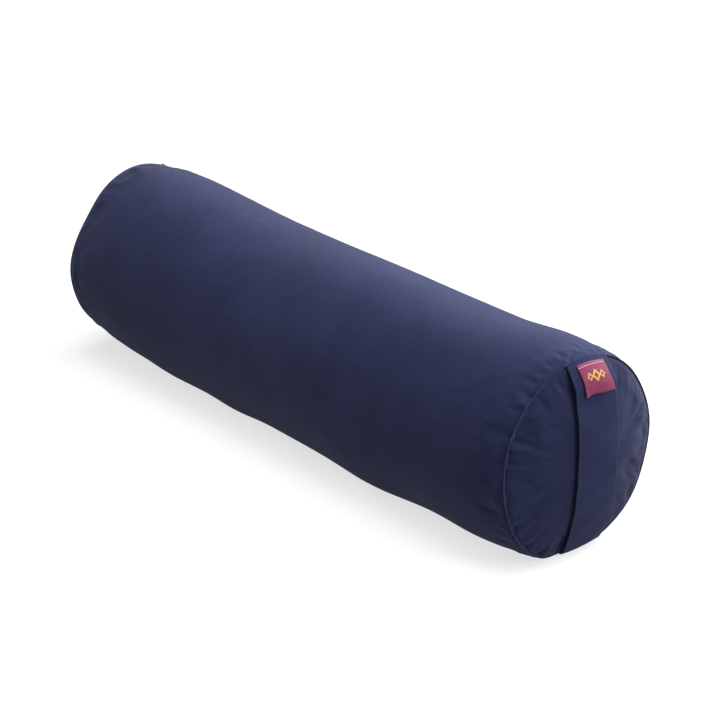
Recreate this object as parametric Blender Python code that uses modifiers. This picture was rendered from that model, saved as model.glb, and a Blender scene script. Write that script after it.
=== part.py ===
"""Round bolster pillow: a long stuffed cushion with a carry handle on one end and a zip along its back.

Frame: metres, +Z up. The body lies along X with the handle end at +X, and the zip runs along
the +Y side. The origin is the middle of the patch of floor that the body rests on.
"""
import math

import bmesh
import bpy
from mathutils import Matrix, Vector

MM = 0.001

# Body
SEAM_TO_SEAM = 678 * MM
BODY_WIDTH = 199 * MM
BODY_HEIGHT = 200 * MM
AXIS_HEIGHT = 95.1 * MM
SHOULDER = 94 * MM
SEAM_NARROWING = 0.052
SHOULDER_POWER = 2.2
END_LIFT = 1.5 * MM
END_LIFT_POWER = 1.6
FLOOR_BLEND = 4 * MM
CROWN = 18 * MM
CROWN_POWER = 2.5

# Cloth, liner and filling
GAP = 0.3 * MM
COVER_CLOTH = 1.0 * MM
SEAM_ALLOWANCE = 8 * MM
SEAM_THREAD = 0.8 * MM
SEAM_THREAD_INSET = 3.0 * MM
LINER_INSET = 3.8 * MM
LINER_CLOTH = 0.5 * MM
LINER_SHORTENING = 2 * MM
LINER_CROWN = 18.2 * MM
FILLING_INSET = 5.4 * MM
CORE_DIAMETER = 140 * MM
CORE_SHORTENING = 10 * MM
CORE_EDGE_ROUND = 6 * MM
PAD_SHORTENING = 3.2 * MM

# Handle strap, sewn into the end seam at the top and at the bottom
STRAP_WIDTH = 48 * MM
STRAP_CENTRE_Y = 5 * MM
STRAP_THICKNESS = 1.8 * MM
FINGER_GAP = 5 * MM
STRAP_TOP = 1.0
GRIP_REACH = 0.656
STRAP_BOTTOM = -0.93

# Woven label, lying on the strap
LABEL_WIDTH = 34 * MM
LABEL_CENTRE_Y = 9.5 * MM
LABEL_THICKNESS = 0.4 * MM
LABEL_TOP = 0.995
LABEL_BOTTOM = 0.685
LABEL_STITCH_AT = 0.95
LABEL_THREAD = 0.4 * MM

# Zip: heights are measured outwards from the cover's outer face
ZIP_ANGLE = math.radians(6)
SLOT_LENGTH = 457 * MM
SLOT_WIDTH = 10 * MM
SLOT_CUT_DEPTH = 6 * MM
SLOT_CUT_RISE = 4 * MM
TAPE_LENGTH = 484 * MM
TAPE_INNER = 2.9 * MM
TAPE_OUTER = 16 * MM
TAPE_TOP = -1.3 * MM
TAPE_THICKNESS = 0.5 * MM
BACK_CURVE = 103 * MM
CHAIN_HALF = 221.5 * MM
TOOTH_PITCH = 4 * MM
TOOTH_WIDTH = 1.7 * MM
TOOTH_TIP = -0.85 * MM
TOOTH_ROOT = 1.3 * MM
TOOTH_BACK = 2.6 * MM
TOOTH_MIDDLE = -1.55 * MM
TOOTH_THICKNESS = 1.4 * MM
STOP_LENGTH = 2 * MM
TOPSTITCH_OFFSET = 8 * MM
TOPSTITCH_THREAD = 0.5 * MM

# Zip slider and its pull tab
SLIDER_X = 216.2 * MM
SLIDER_LENGTH = 10 * MM
SLIDER_WIDTH = 9 * MM
SLIDER_RIM = 1.3 * MM
UPPER_PLATE = (-0.55 * MM, 0.45 * MM)
UPPER_RIM_LOW = -1.0 * MM
LOWER_PLATE = (-3.25 * MM, -2.55 * MM)
LOWER_RIM_HIGH = -2.1 * MM
POST_LENGTH = 2.5 * MM
POST_WIDTH = 2.0 * MM
POST_START = 2.2 * MM
BURIED = 0.2 * MM
PULL_AXIS_HEIGHT = 1.6 * MM
BAIL_OPENING = 1.2 * MM
BAIL_OUTER = 2.0 * MM
BAIL_UNDERSIDE = 2.75 * MM
BAIL_TOP = 3.55 * MM
BAIL_WIDTH = 2.0 * MM
PULL_THICKNESS = 1.2 * MM
PULL_EYE_FAR = 3.3 * MM
PULL_EYE_HALF = 1.3 * MM
PULL_LENGTH = 22 * MM
PULL_WIDTH = 6 * MM

# Resolution
COVER_SEGMENTS = 64
INNER_SEGMENTS = 40
DOME_RINGS = (0.0, 0.2, 0.4, 0.58, 0.74, 0.87, 0.95, 1.0)

HALF = SEAM_TO_SEAM / 2
HALF_WIDTH = BODY_WIDTH / 2
TALLNESS = (BODY_HEIGHT - AXIS_HEIGHT) / HALF_WIDTH

# Name: (red, green, blue, roughness, metallic)
FINISHES = {
    "navy_cotton": (0.030, 0.035, 0.085, 0.90, 0.0),
    "navy_webbing": (0.030, 0.035, 0.083, 0.85, 0.0),
    "navy_thread": (0.045, 0.050, 0.110, 0.70, 0.0),
    "label_weave": (0.270, 0.055, 0.120, 0.75, 0.0),
    "pink_thread": (0.520, 0.300, 0.400, 0.60, 0.0),
    "zip_tape": (0.022, 0.026, 0.062, 0.85, 0.0),
    "zip_teeth": (0.025, 0.028, 0.065, 0.45, 0.0),
    "zip_metal": (0.450, 0.460, 0.480, 0.30, 1.0),
    "liner_calico": (0.640, 0.580, 0.470, 0.90, 0.0),
    "fibre_wadding": (0.800, 0.790, 0.760, 1.00, 0.0),
    "core_foam": (0.720, 0.640, 0.380, 0.95, 0.0),
}


def clear_scene():
    for obj in list(bpy.data.objects):
        bpy.data.objects.remove(obj, do_unlink=True)
    for name in ("bolster_pillow", "cutters"):
        bpy.context.scene.collection.children.link(bpy.data.collections.new(name))


def finish_material(finish):
    material = bpy.data.materials.new(finish)
    red, green, blue, roughness, metallic = FINISHES[finish]
    material.use_nodes = True
    shader = material.node_tree.nodes["Principled BSDF"]
    shader.inputs["Base Color"].default_value = (red, green, blue, 1)
    shader.inputs["Roughness"].default_value = roughness
    shader.inputs["Metallic"].default_value = metallic
    return material


def add_object(name, data, finish, collection="bolster_pillow"):
    obj = bpy.data.objects.new(name, data)
    bpy.data.collections[collection].objects.link(obj)
    if finish:
        data.materials.clear()
        data.materials.append(finish_material(finish))
    return obj


def bake(obj):
    """Replace an object's mesh or curve by the mesh that its modifiers and settings give."""
    graph = bpy.context.evaluated_depsgraph_get()
    mesh = bpy.data.meshes.new_from_object(obj.evaluated_get(graph), depsgraph=graph)
    name, matrix = obj.name, obj.matrix_world.copy()
    collection = obj.users_collection[0].name
    bpy.data.objects.remove(obj, do_unlink=True)
    mesh.name = name
    mesh.transform(matrix)
    baked = bpy.data.objects.new(name, mesh)
    bpy.data.collections[collection].objects.link(baked)
    return baked


def tidy_faces(obj, smooth):
    """Weld the doubled edges of a closed body, face it outwards and shade it."""
    bm = bmesh.new()
    bm.from_mesh(obj.data)
    bmesh.ops.remove_doubles(bm, verts=bm.verts, dist=1e-6)
    bmesh.ops.recalc_face_normals(bm, faces=bm.faces)
    bm.to_mesh(obj.data)
    bm.free()
    for polygon in obj.data.polygons:
        polygon.use_smooth = smooth


def shoulder_ease(x):
    """0 over the middle of the body, rising to 1 at an end seam."""
    return max(0.0, 1 - (HALF - abs(x)) / SHOULDER)


def body_radius(x, inset):
    """Half-width of the body at x, measured in from the cover's outer face by inset."""
    return HALF_WIDTH * (1 - SEAM_NARROWING * shoulder_ease(x) ** SHOULDER_POWER) - inset


def floor_under(x, inset):
    """Lowest height at x: the body rests on its middle, and its drawn-in ends lift a little."""
    return inset + END_LIFT * shoulder_ease(x) ** END_LIFT_POWER


def soft_floor(z, floor):
    """Raise z to the floor, with a short blend instead of a crease."""
    above = z - floor
    if above >= FLOOR_BLEND:
        return z
    if above <= -FLOOR_BLEND:
        return floor
    return floor + (above + FLOOR_BLEND) ** 2 / (4 * FLOOR_BLEND)


def settle(obj, inset):
    """Lift a turned shape onto its axis height and flatten it where it meets the floor."""
    for vertex in obj.data.vertices:
        x, y, z = vertex.co
        vertex.co = (x, y, soft_floor(AXIS_HEIGHT + z * TALLNESS, floor_under(x, inset)))


def turned(name, profile, segments, finish, floor):
    """Revolve a profile of (x, radius) points about X and settle it."""
    mesh = bpy.data.meshes.new(name)
    points = [(x, radius, 0) for x, radius in profile]
    mesh.from_pydata(points, [(i, i + 1) for i in range(len(points) - 1)], [])
    obj = add_object(name, mesh, finish)
    screw = obj.modifiers.new("turn", "SCREW")
    screw.axis = "X"
    screw.steps = screw.render_steps = segments
    screw.use_merge_vertices = True
    screw.merge_threshold = 1e-6
    obj = bake(obj)
    settle(obj, floor)
    return obj


def face_away_from_centre(obj):
    bm = bmesh.new()
    bm.from_mesh(obj.data)
    bmesh.ops.remove_doubles(bm, verts=bm.verts, dist=1e-6)
    bmesh.ops.recalc_face_normals(bm, faces=bm.faces)
    centre = Vector((0, 0, AXIS_HEIGHT))
    outward = sum(f.normal.dot(f.calc_center_median() - centre) * f.calc_area() for f in bm.faces)
    if outward < 0:
        bmesh.ops.reverse_faces(bm, faces=bm.faces)
    bm.to_mesh(obj.data)
    bm.free()


def cloth_shell(name, profile, thickness, segments, finish, floor):
    """A turned cloth skin whose outer face is the profile."""
    obj = turned(name, profile, segments, finish, floor)
    face_away_from_centre(obj)
    shell = obj.modifiers.new("cloth", "SOLIDIFY")
    shell.thickness = thickness
    shell.offset = -1
    shell.use_even_offset = True
    obj = bake(obj)
    tidy_faces(obj, True)
    return obj


def stations(reach):
    """Places along X where a tube needs a ring: close together only over the shoulders."""
    shoulder = [0.0, 0.12, 0.28, 0.48, 0.72, 1.0]
    right = [reach - share * (SHOULDER - (HALF - reach)) for share in shoulder]
    return [-x for x in right] + right[::-1]


def tube_profile(reach, inset):
    return [(x, body_radius(x, inset)) for x in stations(reach)]


def end_profile(side, rim_x, inset, crown):
    """Seam allowance tucked inside the tube, then the domed end panel to the axis."""
    rim = body_radius(rim_x, inset)
    allowance = [rim_x - SEAM_ALLOWANCE, rim_x - SEAM_ALLOWANCE / 2]
    points = [(side * x, body_radius(x, inset)) for x in allowance]
    for share in reversed(DOME_RINGS):
        points.append((side * (rim_x + crown * (1 - share ** CROWN_POWER)), rim * share))
    return points


def thread_loop(name, points, thickness, finish, closed=True):
    """A thread that runs through the points."""
    curve = bpy.data.curves.new(name, "CURVE")
    curve.dimensions = "3D"
    curve.bevel_depth = thickness / 2
    curve.bevel_resolution = 1
    curve.use_fill_caps = not closed
    spline = curve.splines.new("POLY")
    spline.points.add(len(points) - 1)
    for point, place in zip(spline.points, points):
        point.co = (*place, 1)
    spline.use_cyclic_u = closed
    obj = bake(add_object(name, curve, finish))
    tidy_faces(obj, True)
    return obj


def ring_points(x, inset):
    radius = body_radius(x, inset)
    points = []
    for i in range(COVER_SEGMENTS):
        angle = 2 * math.pi * i / COVER_SEGMENTS
        z = soft_floor(AXIS_HEIGHT + radius * TALLNESS * math.sin(angle), floor_under(x, inset))
        points.append((x, radius * math.cos(angle), z))
    return points


def plate(name, loops, low, high, matrix, finish, collection="bolster_pillow"):
    """A flat outline, with any holes, raised from low to high and then placed by matrix."""
    curve = bpy.data.curves.new(name, "CURVE")
    curve.dimensions = "2D"
    curve.fill_mode = "BOTH"
    curve.extrude = (high - low) / 2
    for loop in loops:
        spline = curve.splines.new("POLY")
        spline.points.add(len(loop) - 1)
        for point, place in zip(spline.points, loop):
            point.co = (*place, 0, 1)
        spline.use_cyclic_u = True
    obj = add_object(name, curve, finish, collection)
    obj.matrix_world = matrix @ Matrix.Translation((0, 0, (high + low) / 2))
    obj = bake_with_matrix(obj)
    tidy_faces(obj, False)
    return obj


def bake_with_matrix(obj):
    bpy.context.view_layer.update()
    return bake(obj)


def rectangle(x0, x1, y0, y1):
    return [(x0, y0), (x1, y0), (x1, y1), (x0, y1)]


def combine(target, tool, operation):
    modifier = target.modifiers.new("combine", "BOOLEAN")
    modifier.operation = operation
    modifier.solver = "EXACT"
    modifier.object = tool
    return bake(target)


def join_solids(first, others):
    """One closed body from several that reach into each other."""
    for other in others:
        first = combine(first, other, "UNION")
        bpy.data.objects.remove(other, do_unlink=True)
    tidy_faces(first, False)
    return first


def zip_frame():
    """Zip axes: X along the body, Y downwards over the cover, Z straight out of the cover."""
    normal = Vector((0, math.cos(ZIP_ANGLE) * TALLNESS, math.sin(ZIP_ANGLE))).normalized()
    down = normal.cross(Vector((1, 0, 0)))
    origin = Vector((0, HALF_WIDTH * math.cos(ZIP_ANGLE),
                     AXIS_HEIGHT + HALF_WIDTH * TALLNESS * math.sin(ZIP_ANGLE)))
    frame = Matrix.Identity(4)
    for column, axis in enumerate((Vector((1, 0, 0)), down, normal, origin)):
        frame.col[column][:3] = axis
    return frame


def along_x(frame):
    """Turns a plate's own axes so that its outline lies across the zip and it rises along X."""
    turn = Matrix(((0, 0, 1, 0), (1, 0, 0, 0), (0, 1, 0, 0), (0, 0, 0, 1)))
    return frame @ turn


def across_zip(frame):
    """Turns a plate's own axes so that its outline lies along and out of the zip."""
    turn = Matrix(((1, 0, 0, 0), (0, 0, -1, 0), (0, 1, 0, 0), (0, 0, 0, 1)))
    return frame @ turn


def build_cover():
    tube = cloth_shell("cover_tube", tube_profile(HALF, 0), COVER_CLOTH, COVER_SEGMENTS,
                       "navy_cotton", 0)
    slot = rectangle(-SLOT_LENGTH / 2, SLOT_LENGTH / 2, -SLOT_WIDTH / 2, SLOT_WIDTH / 2)
    cutter = plate("zip_slot_cutter", [slot], -SLOT_CUT_DEPTH, SLOT_CUT_RISE, zip_frame(), None,
                   "cutters")
    cutter.hide_render = True
    cutter.display_type = "WIRE"
    tube = combine(tube, cutter, "DIFFERENCE")
    tidy_faces(tube, True)
    bpy.data.objects.remove(cutter, do_unlink=True)
    lip = COVER_CLOTH + GAP
    for side, end in ((1, "front"), (-1, "rear")):
        cloth_shell(f"cover_end_{end}", end_profile(side, HALF, lip, CROWN), COVER_CLOTH,
                    COVER_SEGMENTS, "navy_cotton", lip)
        thread_loop(f"{end}_seam_thread",
                    ring_points(side * (HALF - SEAM_ALLOWANCE / 2), SEAM_THREAD_INSET),
                    SEAM_THREAD, "navy_thread")


def build_liner():
    reach = HALF - LINER_SHORTENING
    cloth_shell("liner_tube", tube_profile(reach, LINER_INSET), LINER_CLOTH, INNER_SEGMENTS,
                "liner_calico", LINER_INSET)
    lip = LINER_INSET + LINER_CLOTH + GAP
    for side, end in ((1, "front"), (-1, "rear")):
        cloth_shell(f"liner_end_{end}", end_profile(side, reach, lip, LINER_CROWN), LINER_CLOTH,
                    INNER_SEGMENTS, "liner_calico", lip)


def turned_solid(name, profile, finish):
    obj = turned(name, profile, INNER_SEGMENTS, finish, FILLING_INSET)
    tidy_faces(obj, True)
    return obj


def build_filling():
    reach = HALF - CORE_SHORTENING
    core = CORE_DIAMETER / 2
    edge = CORE_EDGE_ROUND
    bend = edge * (1 - math.sqrt(0.5))
    half_core = [(reach, 0), (reach, core - edge), (reach - bend, core - bend), (reach - edge, core)]
    turned_solid("foam_core", half_core + [(-x, r) for x, r in reversed(half_core)], "core_foam")
    bore = core + GAP
    wrap = tube_profile(reach, FILLING_INSET)
    turned_solid("wadding_wrap", wrap + [(reach, bore), (-reach, bore), wrap[0]], "fibre_wadding")
    face = reach + GAP
    rim_x = HALF - PAD_SHORTENING
    rim = body_radius(rim_x, FILLING_INSET)
    for side, end in ((1, "front"), (-1, "rear")):
        points = [(side * face, 0), (side * face, body_radius(face, FILLING_INSET))]
        for share in reversed(DOME_RINGS):
            points.append((side * (rim_x + CROWN * (1 - share ** CROWN_POWER)), rim * share))
        turned_solid(f"wadding_pad_{end}", points, "fibre_wadding")


def strap_point(share, y, lift):
    """A point on the strap: share runs from -1 at the bottom seam to 1 at the top seam."""
    rim = body_radius(HALF, COVER_CLOTH + GAP)
    z = AXIS_HEIGHT + share * rim * TALLNESS * math.sqrt(1 - (y / rim) ** 2)
    bow = CROWN * (1 - abs(share) ** CROWN_POWER) + FINGER_GAP * (1 - share ** 2)
    return (HALF + GAP + bow + lift, y, z)


def ribbon(name, shares, middle_y, width, lift, thickness, finish):
    """A strip of cloth over the end panel, its inner face lifted off the strap line."""
    mesh = bpy.data.meshes.new(name)
    across = [middle_y + width * k / 4 for k in (-2, -1, 0, 1, 2)]
    points = [strap_point(share, y, lift) for share in shares for y in across]
    faces = []
    for row in range(len(shares) - 1):
        for col in range(len(across) - 1):
            corner = row * len(across) + col
            faces.append((corner, corner + 1, corner + 1 + len(across), corner + len(across)))
    mesh.from_pydata(points, [], faces)
    obj = add_object(name, mesh, finish)
    face_away_from_centre(obj)
    cloth = obj.modifiers.new("cloth", "SOLIDIFY")
    cloth.thickness = thickness
    cloth.offset = 1
    cloth.use_even_offset = True
    obj = bake(obj)
    tidy_faces(obj, False)
    return obj


def spread(first, last, count):
    return [first + (last - first) * i / (count - 1) for i in range(count)]


def build_handle():
    half_cut = GAP / (2 * HALF_WIDTH)
    pieces = {
        "handle_anchor_top": spread(STRAP_TOP, GRIP_REACH + half_cut, 7),
        "handle_grip": spread(GRIP_REACH - half_cut, -GRIP_REACH + half_cut, 15),
        "handle_anchor_bottom": spread(-GRIP_REACH - half_cut, STRAP_BOTTOM, 6),
    }
    for name, shares in pieces.items():
        ribbon(name, shares, STRAP_CENTRE_Y, STRAP_WIDTH, 0, STRAP_THICKNESS, "navy_webbing")
    on_strap = STRAP_THICKNESS + GAP
    ribbon("woven_label", spread(LABEL_TOP, LABEL_BOTTOM, 7), LABEL_CENTRE_Y, LABEL_WIDTH,
           on_strap, LABEL_THICKNESS, "label_weave")
    above = on_strap + LABEL_THICKNESS + GAP + LABEL_THREAD / 2
    row = [strap_point(LABEL_STITCH_AT, LABEL_CENTRE_Y + LABEL_WIDTH * k / 10, above)
           for k in range(-4, 5)]
    thread_loop("label_thread", row, LABEL_THREAD, "pink_thread", closed=False)


def back_sag(y):
    """How far the cover's face has fallen away at a distance y from the zip's middle."""
    return y * y / (2 * BACK_CURVE)


def build_tapes(frame):
    for side, name in ((-1, "upper"), (1, "lower")):
        across = spread(TAPE_INNER, TAPE_OUTER, 4)
        top = [(side * y, TAPE_TOP - back_sag(y)) for y in across]
        under = [(y, z - TAPE_THICKNESS) for y, z in reversed(top)]
        plate(f"zip_tape_{name}", [top + under], -TAPE_LENGTH / 2, TAPE_LENGTH / 2,
              along_x(frame), "zip_tape")


def tooth_row(side, first):
    """Comb outline: a straight back with teeth that reach across the zip's middle."""
    end = SLIDER_X + POST_START - GAP
    outline = [(-CHAIN_HALF, side * TOOTH_BACK), (-CHAIN_HALF, side * TOOTH_ROOT)]
    x = first
    while x + TOOTH_WIDTH < end:
        outline += [(x, side * TOOTH_ROOT), (x, side * TOOTH_TIP),
                    (x + TOOTH_WIDTH, side * TOOTH_TIP), (x + TOOTH_WIDTH, side * TOOTH_ROOT)]
        x += TOOTH_PITCH
    return outline + [(end, side * TOOTH_ROOT), (end, side * TOOTH_BACK)]


def build_chain(frame):
    low = TOOTH_MIDDLE - TOOTH_THICKNESS / 2
    high = TOOTH_MIDDLE + TOOTH_THICKNESS / 2
    start = -CHAIN_HALF + GAP
    for side, name, shift in ((-1, "upper", 0), (1, "lower", TOOTH_PITCH / 2)):
        plate(f"zip_teeth_{name}", [tooth_row(side, start + shift)], low, high, frame, "zip_teeth")
        stop = sorted((side * TOOTH_ROOT, side * TOOTH_BACK))
        outline = rectangle(CHAIN_HALF + GAP, CHAIN_HALF + GAP + STOP_LENGTH, *stop)
        plate(f"zip_top_stop_{name}", [outline], low, high, frame, "zip_metal")
    outline = rectangle(-CHAIN_HALF - GAP - STOP_LENGTH, -CHAIN_HALF - GAP, -TOOTH_BACK, TOOTH_BACK)
    plate("zip_bottom_stop", [outline], low, high, frame, "zip_metal")


def build_topstitch(frame):
    """One line of stitching round the zip's slot, lying on the cover."""
    out = TOPSTITCH_OFFSET
    end = SLOT_LENGTH / 2 + out - SLOT_WIDTH / 2
    across = spread(-out, out, 5)
    round_slot = [(end, y) for y in across] + [(-end, -y) for y in across]
    lift = GAP + TOPSTITCH_THREAD / 2
    places = [frame @ Vector((x, y, lift - back_sag(y))) for x, y in round_slot]
    thread_loop("zip_topstitch", places, TOPSTITCH_THREAD, "navy_thread")


def channel(name, plate_z, rim_z, place):
    """A slider plate with a rim along each side, as a section across the zip."""
    half = SLIDER_WIDTH / 2
    inner = half - SLIDER_RIM
    far, near = plate_z
    section = [(-half, far), (half, far), (half, rim_z), (inner, rim_z), (inner, near),
               (-inner, near), (-inner, rim_z), (-half, rim_z)]
    return plate(name, [section], -SLIDER_LENGTH / 2, SLIDER_LENGTH / 2, along_x(place), "zip_metal")


def build_slider(frame):
    place = frame @ Matrix.Translation((SLIDER_X, 0, 0))
    slider = channel("zip_slider", UPPER_PLATE[::-1], UPPER_RIM_LOW, place)
    lower = channel("slider_lower", LOWER_PLATE, LOWER_RIM_HIGH, place)
    outline = rectangle(POST_START, POST_START + POST_LENGTH, -POST_WIDTH / 2, POST_WIDTH / 2)
    post = plate("slider_post", [outline], LOWER_PLATE[1] - BURIED, UPPER_PLATE[0] + BURIED, place,
                 "zip_metal")
    root = UPPER_PLATE[1] - BURIED
    arch = [(-BAIL_OUTER, root), (-BAIL_OPENING, root), (-BAIL_OPENING, BAIL_UNDERSIDE),
            (BAIL_OPENING, BAIL_UNDERSIDE), (BAIL_OPENING, root), (BAIL_OUTER, root),
            (BAIL_OUTER, BAIL_TOP), (-BAIL_OUTER, BAIL_TOP)]
    bail = plate("slider_bail", [arch], -BAIL_WIDTH / 2, BAIL_WIDTH / 2, across_zip(place),
                 "zip_metal")
    join_solids(slider, [lower, post, bail])


def build_pull(frame):
    place = frame @ Matrix.Translation((SLIDER_X, 0, PULL_AXIS_HEIGHT))
    half, bar = PULL_WIDTH / 2, PULL_THICKNESS / 2
    corner = PULL_WIDTH / 4
    outline = [(bar, -half), (bar, half), (-PULL_LENGTH + corner, half),
               (-PULL_LENGTH, half - corner), (-PULL_LENGTH, corner - half),
               (-PULL_LENGTH + corner, -half)]
    eye = rectangle(-PULL_EYE_FAR, -bar, -PULL_EYE_HALF, PULL_EYE_HALF)
    pull = plate("zip_pull", [outline, eye], -bar, bar, place, "zip_metal")
    set_origin(pull, place.translation)


def set_origin(obj, origin):
    obj.data.transform(Matrix.Translation(-origin))
    obj.location = origin


def main():
    clear_scene()
    frame = zip_frame()
    build_cover()
    build_liner()
    build_filling()
    build_handle()
    build_tapes(frame)
    build_chain(frame)
    build_topstitch(frame)
    build_slider(frame)
    build_pull(frame)


main()
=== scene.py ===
import math
from contextlib import contextmanager

import bmesh
import bpy
import numpy as np
from mathutils import Matrix, Vector


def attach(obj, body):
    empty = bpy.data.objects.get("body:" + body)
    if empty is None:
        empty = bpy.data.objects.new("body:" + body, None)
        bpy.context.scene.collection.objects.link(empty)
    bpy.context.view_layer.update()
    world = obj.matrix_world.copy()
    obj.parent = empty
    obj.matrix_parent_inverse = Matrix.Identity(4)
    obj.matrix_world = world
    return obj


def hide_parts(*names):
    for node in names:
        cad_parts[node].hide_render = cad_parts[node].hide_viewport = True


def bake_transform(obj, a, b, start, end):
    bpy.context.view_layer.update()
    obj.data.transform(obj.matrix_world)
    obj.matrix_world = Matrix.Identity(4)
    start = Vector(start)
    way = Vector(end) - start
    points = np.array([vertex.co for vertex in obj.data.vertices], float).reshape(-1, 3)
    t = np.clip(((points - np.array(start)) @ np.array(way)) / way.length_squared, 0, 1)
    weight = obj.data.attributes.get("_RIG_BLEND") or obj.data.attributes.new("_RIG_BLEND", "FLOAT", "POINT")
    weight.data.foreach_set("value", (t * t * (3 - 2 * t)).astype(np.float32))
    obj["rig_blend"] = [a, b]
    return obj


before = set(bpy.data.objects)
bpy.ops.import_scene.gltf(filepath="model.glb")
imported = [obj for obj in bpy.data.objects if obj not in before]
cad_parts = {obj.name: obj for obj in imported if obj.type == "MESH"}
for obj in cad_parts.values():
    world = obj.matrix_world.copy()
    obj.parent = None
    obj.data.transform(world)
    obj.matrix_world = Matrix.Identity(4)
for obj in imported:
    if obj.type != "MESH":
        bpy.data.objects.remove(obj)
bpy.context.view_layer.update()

MM = 0.001

# The CAD's own sizes
HALF = 339 * MM
HALF_WIDTH = 99.5 * MM
TALLNESS = (200 - 95.1) / 99.5
AXIS_HEIGHT = 95.1 * MM
SHOULDER = 94 * MM
SEAM_NARROWING = 0.052
SHOULDER_POWER = 2.2
END_LIFT = 1.5 * MM
END_LIFT_POWER = 1.6
CROWN = 18 * MM
CROWN_POWER = 2.5
LABEL_WIDTH = 34 * MM
LABEL_Y = 9.5 * MM
ZIP_ANGLE = math.radians(6)
SLOT_HALF_LENGTH = 228.5 * MM
SLOT_HALF_WIDTH = 5 * MM
CHAIN_HALF = 221.5 * MM
TAPE_HALF = 242 * MM
TOOTH_PITCH = 4 * MM
TOOTH_WIDTH = 1.7 * MM
TOOTH_MIDDLE = -1.55 * MM
TAPE_TOP = -1.3 * MM
BACK_CURVE = 103 * MM
SLIDER_X = 216.2 * MM

# The visible strap is a little wider and further over than its CAD solid
STRAP_WIDTH = 50.5 * MM
STRAP_Y = 6.25 * MM

TAU = 2 * math.pi


# ---------------------------------------------------------------- small tools

def smooth(t):
    t = np.clip(t, 0, 1)
    return t * t * (3 - 2 * t)


def rise(x, start, length):
    """0 before the start, 1 once past the length; both are in millimetres."""
    return smooth((x - start * MM) / (length * MM))


def bump(x, centre, width):
    return np.exp(-((x - centre) / width) ** 2)


def turn_between(a, b):
    """Smallest angle from b to a, either way."""
    return (a - b + math.pi) % TAU - math.pi


def around(turn, centre, width):
    """A bump in angle."""
    return bump(turn_between(turn, centre), 0, width)


def soft_floor(z, floor, blend=4 * MM):
    """Keep z off the floor, easing into it."""
    above = z - floor
    eased = floor + (above + blend) ** 2 / (4 * blend)
    return np.where(above >= blend, z, np.where(above <= -blend, floor, eased))


def shoulder_ease(x):
    return np.clip(1 - (HALF - np.abs(x)) / SHOULDER, 0, 2)


def body_radius(x):
    return HALF_WIDTH * (1 - SEAM_NARROWING * np.minimum(shoulder_ease(x), 1) ** SHOULDER_POWER)


def floor_under(x):
    return END_LIFT * shoulder_ease(x) ** END_LIFT_POWER


SEAM_RADIUS = float(body_radius(HALF))


def make_object(name, points, faces, material, uvs=None, attributes=None, wrap=None):
    """A smooth mesh object.

    wrap is the length round a closed grid, and keeps the weave of its last column from being squeezed.
    """
    mesh = bpy.data.meshes.new(name)
    mesh.from_pydata([tuple(p) for p in points], [], [tuple(map(int, f)) for f in faces])
    mesh.update()
    for polygon in mesh.polygons:
        polygon.use_smooth = True
    if uvs is not None:
        layer = mesh.uv_layers.new(name="weave")
        corners = np.zeros(len(mesh.loops), np.int32)
        mesh.loops.foreach_get("vertex_index", corners)
        layer.data.foreach_set("uv", np.asarray(uvs, float)[corners].astype(np.float32).ravel())
        for polygon in mesh.polygons if wrap else ():
            corner_uvs = [layer.data[i].uv for i in polygon.loop_indices]
            highest = max(uv[0] for uv in corner_uvs)
            for uv in corner_uvs:
                if highest - uv[0] > wrap / 2:
                    uv[0] += wrap
    for key, values in (attributes or {}).items():
        made = mesh.attributes.new(key, "FLOAT", "POINT")
        made.data.foreach_set("value", np.asarray(values, np.float32))
    obj = bpy.data.objects.new(name, mesh)
    bpy.context.scene.collection.objects.link(obj)
    mesh.materials.append(material)
    return obj


def grid_faces(rows, columns, in_rings):
    """Quads of a grid of points; in_rings closes each row."""
    faces = []
    for r in range(rows - 1):
        for c in range(columns if in_rings else columns - 1):
            d = (c + 1) % columns
            faces.append((r * columns + c, r * columns + d, (r + 1) * columns + d, (r + 1) * columns + c))
    return faces


def tube_faces(rings, sides, base=0):
    """Faces of a run of rings, closed at both ends."""
    count = rings * sides
    faces = grid_faces(rings, sides, True) + [tuple(range(sides))[::-1], tuple(range(count - sides, count))]
    return [tuple(base + i for i in face) for face in faces]


def fan_faces(ring, point, columns):
    """Triangles from the ring that starts at index ring to a single point."""
    return [(ring + c, ring + (c + 1) % columns, point) for c in range(columns)]


def two_sided_faces(rows, columns):
    """Faces of a sheet given as an outer grid, then an inner one, joined round the rim."""
    count = rows * columns
    faces = grid_faces(rows, columns, False)
    faces += [tuple(i + count for i in face)[::-1] for face in faces]
    rim = list(range(columns)) + [(r + 1) * columns - 1 for r in range(1, rows)]
    rim += [count - 1 - c for c in range(1, columns)] + [r * columns for r in range(rows - 2, 0, -1)]
    return faces + [(i, i + count, j + count, j) for i, j in zip(rim, rim[1:] + rim[:1])]


@contextmanager
def editing(obj):
    """Work on an object's mesh as a bmesh."""
    bm = bmesh.new()
    bm.from_mesh(obj.data)
    yield bm
    bm.to_mesh(obj.data)
    bm.free()


def face_out(obj):
    """Turn every face of a closed shape outwards."""
    with editing(obj) as bm:
        bmesh.ops.recalc_face_normals(bm, faces=bm.faces)


def smooth_by_angle(obj, degrees):
    """Smooth shading, but for edges sharper than this."""
    with editing(obj) as bm:
        for face in bm.faces:
            face.smooth = True
        for edge in bm.edges:
            if len(edge.link_faces) == 2:
                edge.smooth = edge.calc_face_angle(0) < math.radians(degrees)


def stands_for(obj, node, body="bolster"):
    """Show obj in place of a CAD node, moving with a body."""
    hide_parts(node)
    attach(obj, body)


def grid_normals(points):
    """Normals of a grid of points that closes round its second index."""
    along = np.gradient(points, axis=0)
    across = np.roll(points, -1, axis=1) - np.roll(points, 1, axis=1)
    normal = np.cross(across, along)
    length = np.linalg.norm(normal, axis=2, keepdims=True)
    return normal / np.maximum(length, 1e-12)


# ---------------------------------------------------------------- materials

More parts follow.
